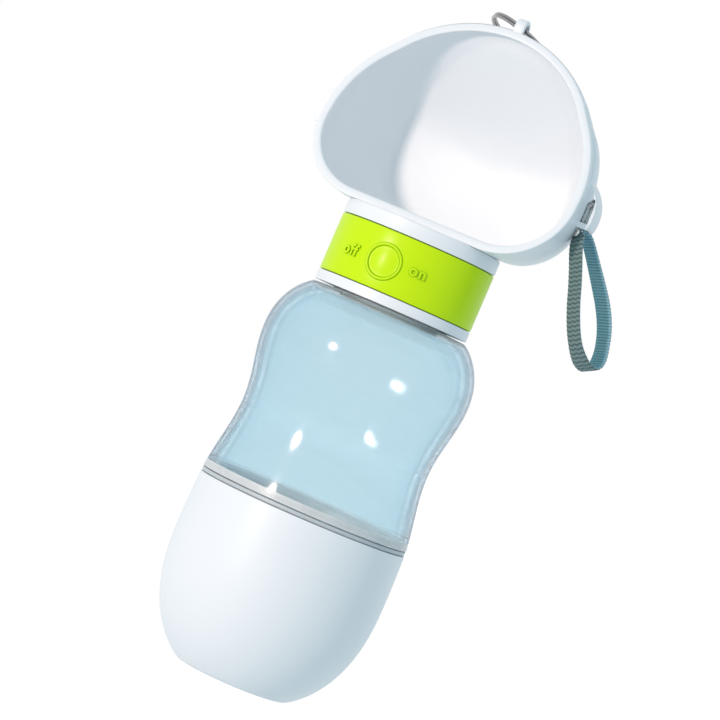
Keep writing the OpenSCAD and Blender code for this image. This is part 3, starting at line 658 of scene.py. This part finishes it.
def cut(thing, cutter):
    """Takes one closed shape out of another, and removes the cutter."""
    choose(thing)
    modifier = thing.modifiers.new("cut", "BOOLEAN")
    modifier.object = cutter
    modifier.operation = "DIFFERENCE"
    modifier.solver = "EXACT"
    bpy.ops.object.modifier_apply(modifier=modifier.name)
    bpy.data.objects.remove(cutter, do_unlink=True)
    return thing


def rod(radius, length, middle, axis="Z", count=64):
    """A round bar, used as a cutter."""
    turn = {"X": (0, math.pi / 2, 0), "Y": (math.pi / 2, 0, 0), "Z": (0, 0, 0)}[axis]
    deselect()
    bpy.ops.mesh.primitive_cylinder_add(vertices=count, radius=radius * mm, depth=length * mm,
                                        location=Vector(middle) * mm, rotation=turn)
    bpy.ops.object.transform_apply(location=True, rotation=True, scale=True)
    return bpy.context.object


def block(low, high):
    """A square bar between two corners, used as a cutter."""
    low, high = Vector(low), Vector(high)
    deselect()
    bpy.ops.mesh.primitive_cube_add(size=mm, location=(low + high) / 2 * mm, scale=high - low)
    bpy.ops.object.transform_apply(location=True, rotation=True, scale=True)
    return bpy.context.object


def rounded(thing, width, segments=3, degrees=40):
    """Rounds the sharp edges of a piece."""
    choose(thing)
    bevel = thing.modifiers.new("round", "BEVEL")
    bevel.width = width * mm
    bevel.segments = segments
    bevel.limit_method = "ANGLE"
    bevel.angle_limit = math.radians(degrees)
    bevel.harden_normals = False
    bpy.ops.object.modifier_apply(modifier=bevel.name)
    return thing


def slab(name, outline, start, end, axis):
    """A flat outline pushed out along an axis: (x, z) outlines along Y, (y, z) outlines along X."""
    return skinned(name, [[(a, place, b) if axis == "Y" else (place, a, b) for a, b in outline]
                          for place in (start, end)])


scoop = skinned("drinking_bowl", scoop_rings())
cut(scoop, rod(drain_r, 12, (0, 0, lip_z)))
cut(scoop, rod(strainer_seat_r, 6, (0, 0, lip_z + 4.4)))
soften(scoop, 38)


def circle_at(y, z, radius, count=128):
    turns = [math.tau * i / count for i in range(count)]
    return [(radius * math.cos(turn), y + radius * math.sin(turn), z) for turn in turns]


def under_floor(y):
    """The height of a point that is sunk 0.9 mm into the scoop's lower wall."""
    t = min(1, max(0, (y - mouth_front(lip_z)) / depth_at(lip_z, 0)))
    return middle_z + (lip_z - middle_z) * (1 - drawn_up * t ** bulge_power) + 0.9


shoulder_y = neck_top_r - lip_front + 0.4
neck_top = [(x, y, under_floor(y)) for x, y, z in circle_at(shoulder_y, 0, neck_top_r)]
neck = skinned("bowl_neck", [
    circle_at(0, plate_z, 0.5), circle_at(0, plate_z, sleeve_bore), circle_at(0, neck_z - 0.8, sleeve_bore),
    circle_at(0, neck_z - 0.8, sleeve_r), circle_at(0, plate_z, sleeve_r),
    circle_at(0, plate_z, neck_r - bowl_wall), circle_at(0, neck_z, neck_r - bowl_wall),
    circle_at(0, neck_z, neck_r - 0.35), circle_at(0, neck_z + 0.1, neck_r - 0.1),
    circle_at(0, neck_z + 0.35, neck_r), circle_at(0, neck_z + 4.6, neck_r),
    circle_at(0.1, neck_z + 4.95, neck_r - 0.2), circle_at(0.4, neck_z + 5.1, neck_r - 0.7),
    circle_at(2.6, neck_z + 5.15, neck_r - 2.9), circle_at(shoulder_y, lip_z + 0.1, neck_top_r), neck_top,
    circle_at(shoulder_y, lip_z + 0.9, 0.5)])
cut(neck, rod(drain_r, 12, (0, 0, lip_z)))
soften(neck, 38)

lug_tall = 15.5
lug_z = lip_z + 20.0
lug_y = 3.7
lug_slot = 7.8
lug_deep = 9.8
slot_across = 2.9
pin_hole_r = 0.52
lug_root = mouth_half - 1.8
lug_inner = mouth_half - 0.1
strap_x = lug_inner + slot_across / 2
strap_pin_z = lug_z + 0.52 * lug_tall
lug_out = lug_inner + slot_across + 1.1
lug_belly = lug_z + 0.27 * lug_tall
lug_rise = lug_z + lug_tall - lug_belly
lug_curve = (lug_rise ** 2 + (lug_out - lug_root) ** 2) / (2 * (lug_out - lug_root))


def side_lug(window):
    """A curved band with a slot for the webbing, open below. The one for the strap has a window too."""
    low = -math.degrees(math.asin((lug_belly - lug_z) / lug_curve))
    high = math.degrees(math.asin(lug_rise / lug_curve))
    outline = [(lug_root, lug_z + lug_tall), (lug_root, lug_z)]
    outline += quarter(lug_out - lug_curve, lug_belly, lug_curve, low, high, 20)
    lug = rounded(slab("side_lug", outline, lug_y - lug_deep / 2, lug_y + lug_deep / 2, "Y"), 0.4)
    top = strap_pin_z
    cut(lug, block((lug_inner, lug_y - lug_slot / 2, lug_z - 2),
                   (lug_inner + slot_across, lug_y + lug_slot / 2, top)))
    cut(lug, rod(slot_across / 2, lug_slot, (strap_x, lug_y, top), "Y"))
    if window:
        gap = [(lug_inner, lug_z + 1.9), (lug_inner + slot_across, lug_z + 1.9),
               (lug_inner + slot_across, top - 0.2), (lug_inner + 2.3, top + 2.2),
               (lug_inner + 1.5, top + 2.4), (lug_inner, top + 0.2)]
        cut(lug, slab("gap", gap, lug_y - 7, lug_y + 7, "Y"))
    cut(lug, rod(pin_hole_r, lug_deep - 0.6, (strap_x, lug_y, top), "Y", 32))
    return soften(lug, 38)


def mirrored(thing, name):
    """The same shape for the other side of the bowl."""
    copy = thing.copy()
    copy.data = thing.data.copy()
    copy.name = name
    bpy.context.scene.collection.objects.link(copy)
    choose(copy)
    bpy.ops.object.mode_set(mode="EDIT")
    bpy.ops.mesh.select_all(action="SELECT")
    bpy.ops.transform.mirror(constraint_axis=(True, False, False), orient_type="GLOBAL",
                             center_override=(0, 0, 0))
    bpy.ops.mesh.normals_make_consistent(inside=False)
    bpy.ops.object.mode_set(mode="OBJECT")
    return copy


pad_rise = 0.6
pad_low = lip_z + 0.43 * mouth_tall
pad_high = lip_z + 0.86 * mouth_tall


def grip_pad():
    """A thin raised pad along the upper shoulder, parallel to the mouth, that fades out at both ends."""
    chosen = [i for i, p in enumerate(mouth_line(0)) if p[0] > 0 and pad_low <= p[1] <= pad_high]
    rings = []
    for n, i in enumerate(chosen):
        rise = pad_rise * ease((n + 0.4) / 4) * ease((len(chosen) - 0.6 - n) / 12)
        deep = depth_at(mouth_line(0)[i][1], 0)
        ring = []
        for behind, share in ((3.0, 0), (3.1, 0.4), (3.3, 0.8), (3.7, 1.0), (7.0, 1.0), (10.3, 1.0),
                              (10.7, 0.8), (10.9, 0.4), (11.0, 0)):
            t = behind / deep
            ring.append(on_wall(mouth_line(0.5 - (0.5 + rise) * share, t)[i], t, 0))
        rings.append(ring)
    return soften(skinned("grip_pad", rings), 30)


eyelet_y = apex_y - 0.4
eyelet_z = lip_z + mouth_tall + 1.6
eyelet_r = 3.4
eyelet_half = 1.9
eyelet_bore = 2.1
tab = quarter(eyelet_y, eyelet_z, eyelet_r, 8, 188, 28)
tab += [(6.6, 235.2), (9.3, 234.9), (11.5, 231.6), (12.6, 230.0), (13.4, 230.4), (13.9, 231.5), (14.1, 233.0)]
eyelet = rounded(slab("ring_eyelet", tab, -eyelet_half, eyelet_half, "X"), 0.6)
cut(eyelet, rod(eyelet_bore, 8, (0, eyelet_y, eyelet_z), "X", 48))
soften(eyelet, 38)
right_lug = side_lug(True)
plain_lug = side_lug(False)
left_lug = mirrored(plain_lug, "left_lug")
bpy.data.objects.remove(plain_lug, do_unlink=True)
right_pad = grip_pad()
left_pad = mirrored(right_pad, "left_pad")
scoop = joined("drinking_bowl", scoop, neck, right_lug, left_lug, right_pad, left_pad, eyelet)
white.onto(scoop, parts["bowl"])
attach(scoop, "cap")
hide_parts("bowl")


# ---------- bowl's seal and outlet strainer ----------
# A silicone ring seals the bowl's sleeve on the cap. A moulded white insert, pierced with holes, is
# pressed into the drain.
silicone.onto(parts["bowl_seal"])
white.onto(parts["outlet_strainer"])


# ---------- strap pin ----------
# A short pin of steel wire, pressed across the top of the right lug's slot. The webbing goes round
# it and hides it.
steel.onto(parts["strap_pin"])


# ---------- wrist strap ----------
# Flat ribbed webbing in teal grey. It goes round the pin in the right lug, its two layers are sewn
# together at the lug's mouth, and below that it hangs as one long loop.
strap_wide = 7.0
strap_thick = 0.8
strap_step = 0.15
flex_z = lug_z - 1.2
loop_twist = 65
hang = math.radians(23.4)
hang_out = Vector((math.cos(hang), 0, math.sin(hang)))
hang_down = Vector((math.sin(hang), 0, -math.cos(hang)))
loop_points = [
    (-0.42, -0.9), (-0.8, 0.0), (-1.9, 1.4), (-2.9, 3.0), (-3.4, 6), (-3.5, 12), (-3.8, 18), (-4.4, 24),
    (-4.4, 30), (-3.8, 35), (-2.4, 39.2), (0.1, 42.8), (3.5, 44.6), (6.8, 43.7), (9.3, 41.0), (11.1, 37),
    (12.2, 32), (12.2, 27), (11.2, 22), (9.6, 17.5), (7.8, 13), (5.9, 8.5), (4.3, 4.8), (2.9, 2.2), (1.3, 0.2),
    (0.42, -0.9)]


def strap_frame(out, down):
    """Where the webbing's middle lies beside its hanging axis, and the direction across it. The band
    turns quickly below the lug, and then its legs slant by different angles, given in degrees."""
    quick = ease((down + 1.5) / 3.3)
    turn = math.radians(loop_twist) * quick
    place = (Vector((strap_x, lug_y, flex_z)) + down * hang_down
             + out * (math.cos(turn) * hang_out + Vector((0, math.sin(turn), 0))))
    far_leg = ease((out + 2) / 6)
    slant = 50 * (1 - far_leg) + (45 + 10 * ease(down / 25)) * far_leg + 10 * ease((down - 36) / 8)
    turn = math.radians(slant) * quick
    return place, (Vector((0, -math.cos(turn), 0)) + math.sin(turn) * hang_out).normalized()


def smooth_path(points, steps):
    """Catmull-Rom points through a list of pairs."""
    path = []
    for i in range(len(points) - 1):
        a, b, c, d = (Vector(points[max(i - 1, 0)]), Vector(points[i]), Vector(points[i + 1]),
                      Vector(points[min(i + 2, len(points) - 1)]))
        for k in range(steps):
            t = k / steps
            path.append(0.5 * (2 * b + t * (c - a) + t * t * (2 * a - 5 * b + 4 * c - d)
                               + t ** 3 * (3 * b - a - 3 * c + d)))
    return path + [Vector(points[-1])]


def evenly(path, step):
    """The same path, as points a fixed step apart, each with its distance along."""
    out, travelled, wanted = [], 0.0, 0.0
    for a, b in zip(path, path[1:]):
        length = (b - a).length
        while wanted <= travelled + length:
            out.append((a.lerp(b, (wanted - travelled) / max(length, 1e-9)), wanted))
            wanted += step
        travelled += length
    return out


outer_pitch = 1.5
inner_pitch = 1.0


def webbing(name, frames, thick=strap_thick):
    """A ribbed band along frames of place, direction across and distance. Bold ribs lie across its
    outer face and finer ones, a little slanted, across its inner face. Its edges are rolled."""
    columns = 15
    rings, ribs, faces = [], [], []
    for i, (place, across, far) in enumerate(frames):
        along = (frames[min(i + 1, len(frames) - 1)][0] - frames[max(i - 1, 0)][0]).normalized()
        face = along.cross(across).normalized()
        ring = []
        for sign in (1, -1):
            for j in range(columns):
                share = (j / (columns - 1) * 2 - 1) * sign
                if sign == 1:
                    wave = 0.13 * math.cos(math.pi * 2.6 * share)
                    rib = math.sin(math.pi * ((far / outer_pitch + wave) % 1)) ** 1.1
                else:
                    rib = math.sin(math.pi * ((far / inner_pitch + 0.55 * share) % 1)) ** 0.7
                edge = max(0, (abs(share) - 0.84) / 0.16)
                high = thick / 2 * (1 - 0.55 * edge ** 2) - 0.14 + 0.22 * rib * (1 - 0.5 * edge)
                ring.append(place + across * share * strap_wide / 2 * (1 + 0.02 * rib) + face * sign * high)
                ribs.append(rib)
                faces.append(0.5 - 0.5 * sign)
        rings.append(ring)
    thing = skinned(name, rings)
    # The ribs' heights are kept for the material, which paints shade into their troughs and highlight onto
    # their crests.
    for title, values in (("rib", ribs), ("inner", faces)):
        thing.data.attributes.new(title, "FLOAT", "POINT").data.foreach_set("value", values)
    return thing


frames = [(*strap_frame(p.x, p.y), far) for p, far in evenly(smooth_path(loop_points, 24), strap_step)]
loop = webbing("strap_loop", frames)

# The other end of the webbing passes up through the lug, round the pin and down again.
round_pin = 0.9
tongue_thick = 1.3
legs = [(round_pin - 0.2 * ease(i / 12) - 0.26 * ease((strap_step * i - 6.4) / 1.8), -strap_step * i)
        for i in range(int((strap_pin_z - lug_z) / strap_step))]
bend = [(round_pin * math.cos(math.pi * i / 24), round_pin * math.sin(math.pi * i / 24)) for i in range(24)]
path = [Vector(p) for p in legs[::-1] + bend + [(-x, z) for x, z in legs]]
places = [Vector((strap_x + p.x, lug_y, strap_pin_z + p.y)) for p, far in evenly(path, strap_step)]
tongue = webbing("strap_tongue", [(place, Vector((0, -1, 0)), strap_step * i)
                                  for i, place in enumerate(places)], tongue_thick)

weave = Finish("teal_webbing", Base_Color=(0.17, 0.25, 0.27), Roughness=0.8, Sheen_Weight=0.15,
               Sheen_Roughness=0.4)
rib = weave.add("ShaderNodeAttribute", attribute_name="rib", out="Fac")
inner = weave.add("ShaderNodeAttribute", attribute_name="inner", out="Fac")
fibre = weave.noise(2600, 2)
# Each face is painted darker in the ribs' troughs and lighter on their crests: painted shade and painted
# highlight on the ribs.
outer_face_rib_shade = weave.blend(rib, (0.014, 0.034, 0.040), (0.185, 0.275, 0.275))
inner_face_rib_shade = weave.blend(rib, (0.080, 0.185, 0.235), (0.310, 0.575, 0.690))
tone = weave.blend(inner, outer_face_rib_shade, inner_face_rib_shade)
weave.set("Base Color", weave.blend(fibre * 0.35, tone, (0.15, 0.235, 0.24)))
weave.set("Roughness", 0.7 + fibre * 0.2)
weave.bump(fibre, 0.35, 0.0001)
weave.onto(loop, parts["strap_tab"], parts["wrist_strap"])

# The webbing's end that goes round the pin inside the lug is coloured a paler grey than the rest of the strap.
sewn = Finish("sewn_webbing", Base_Color=(0.34, 0.38, 0.38), Roughness=0.85)
lay = sewn.noise(1500, 3)
sewn.set("Base Color", sewn.blend(lay, (0.48, 0.52, 0.51), (0.70, 0.73, 0.72)))
sewn.bump(lay, 0.4, 0.0001)
sewn.onto(tongue)
strap = joined("wrist_strap_webbing", soften(loop, 70), soften(tongue, 70))
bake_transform(strap)
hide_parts("strap_tab", "wrist_strap")


# ---------- split ring ----------
# Spring steel wire in two turns that lie on each other, hung in the eyelet. The wire steps over
# from one turn to the other at one place, where its two free ends stop.
ring_mean = 15.2
ring_wire = 1.1
ring_stack = 0.54
ring_aside = 0.4
ring_nod = math.radians(-13)
ring_tilt = math.radians(19)
coil_steps = 340
coil_start = math.radians(19)
coil_angle = math.radians(682)
coil_turned = math.radians(75)
step_start = math.radians(343)
step_angle = math.radians(34)


def coil_place(angle):
    """A point of the wire's middle, which steps up from the lower turn to the upper one."""
    step = ease((angle - step_start) / step_angle)
    return (ring_mean * math.cos(angle + coil_turned), ring_mean * math.sin(angle + coil_turned),
            ring_stack * (2 * step - 1))


coil = []
for i in range(coil_steps + 1):
    angle = coil_start + coil_angle * i / coil_steps
    place = Vector(coil_place(angle))
    along = (Vector(coil_place(angle + 0.01)) - Vector(coil_place(angle - 0.01))).normalized()
    outward = Vector((place.x, place.y, 0)).normalized()
    lift = along.cross(outward).normalized()
    close = min(1, (i + 0.35) / 2.5, (coil_steps - i + 0.35) / 2.5) ** 0.5
    turns = [math.tau * k / 20 for k in range(20)]
    coil.append([place + close * ring_wire / 2 * (math.cos(turn) * outward + math.sin(turn) * lift)
                 for turn in turns])
split_ring = skinned("split_ring_coil", coil)
choose(split_ring)
ring_hang = Vector((ring_aside, math.sqrt(ring_mean ** 2 - ring_aside ** 2), 0))
split_ring.data.transform(Matrix.Translation(ring_hang * mm))
split_ring.data.transform(Matrix.Rotation(ring_nod, 4, "X"))
split_ring.data.transform(Matrix.Rotation(ring_tilt, 4, "Y"))
split_ring.data.transform(Matrix.Translation(Vector((0, eyelet_y, eyelet_z)) * mm))
soften(split_ring, 50)
steel.onto(split_ring, parts["split_ring"])
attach(split_ring, "split_ring")
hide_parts("split_ring")


# ---------- floor, surroundings and light ----------
# A white floor that keeps the object's soft shadow, with plain white surroundings. One small lamp
# stands in front of the object, to the left, and gives the highlights.
deselect()
bpy.ops.mesh.primitive_plane_add(size=8)
floor = bpy.context.object
floor.name = "floor"
ambient = (0.50, 0.63, 0.695)
floor_share = 0.65
floor_seen = (0.86, 0.83, 0.81)
ground = Finish("floor_white", Base_Color=(0.35, 0.35, 0.35), Roughness=1.0)
seen = ground.add("ShaderNodeLightPath", out="Is Camera Ray")
for ray in ("Is Glossy Ray", "Is Transmission Ray"):
    seen = seen.maths("MAXIMUM", seen, ground.add("ShaderNodeLightPath", out=ray))
ground.set("Emission Color", ground.blend(seen, tuple(floor_share * level for level in ambient), floor_seen))
ground.set("Emission Strength", 1.0)
ground.set("Specular IOR Level", 0.0)
ground.onto(floor)

# The surroundings look white, and give the object a softer, cooler light than that.
world = bpy.data.worlds.new("surroundings")
bpy.context.scene.world = world
world.use_nodes = True
tree = world.node_tree
tree.nodes.clear()
rays = tree.nodes.new("ShaderNodeLightPath")
plain = tree.nodes.new("ShaderNodeBackground")
plain.inputs["Color"].default_value = (*ambient, 1)
bright = tree.nodes.new("ShaderNodeBackground")
bright.inputs["Color"].default_value = (1, 1, 1, 1)
either = rays.outputs["Is Camera Ray"]
for ray in ("Is Glossy Ray", "Is Transmission Ray"):
    joint = tree.nodes.new("ShaderNodeMath")
    joint.operation = "MAXIMUM"
    tree.links.new(either, joint.inputs[0])
    tree.links.new(rays.outputs[ray], joint.inputs[1])
    either = joint.outputs[0]
choice = tree.nodes.new("ShaderNodeMixShader")
tree.links.new(either, choice.inputs[0])
tree.links.new(plain.outputs[0], choice.inputs[1])
tree.links.new(bright.outputs[0], choice.inputs[2])
world_out = tree.nodes.new("ShaderNodeOutputWorld")
tree.links.new(choice.outputs[0], world_out.inputs["Surface"])

# The lamp looks at the object's middle.
lamp_turn = math.radians(-22)
lamp_rise = math.radians(5)
lamp_away = 1.2
lamp_aim = 0.13
lamp = bpy.data.lights.new("key_lamp", "AREA")
lamp.shape = "ELLIPSE"
lamp.size = 0.11
lamp.size_y = 0.16
lamp.energy = 7.5
lamp.color = (1.0, 0.79, 0.70)
key_lamp = bpy.data.objects.new("key_lamp", lamp)
away = Vector((math.sin(lamp_turn) * math.cos(lamp_rise), -math.cos(lamp_turn) * math.cos(lamp_rise),
               math.sin(lamp_rise)))
key_lamp.matrix_world = (Matrix.Translation(Vector((0, 0, lamp_aim)) + lamp_away * away)
                         @ away.to_track_quat("Z", "Y").to_matrix().to_4x4())
bpy.context.scene.collection.objects.link(key_lamp)
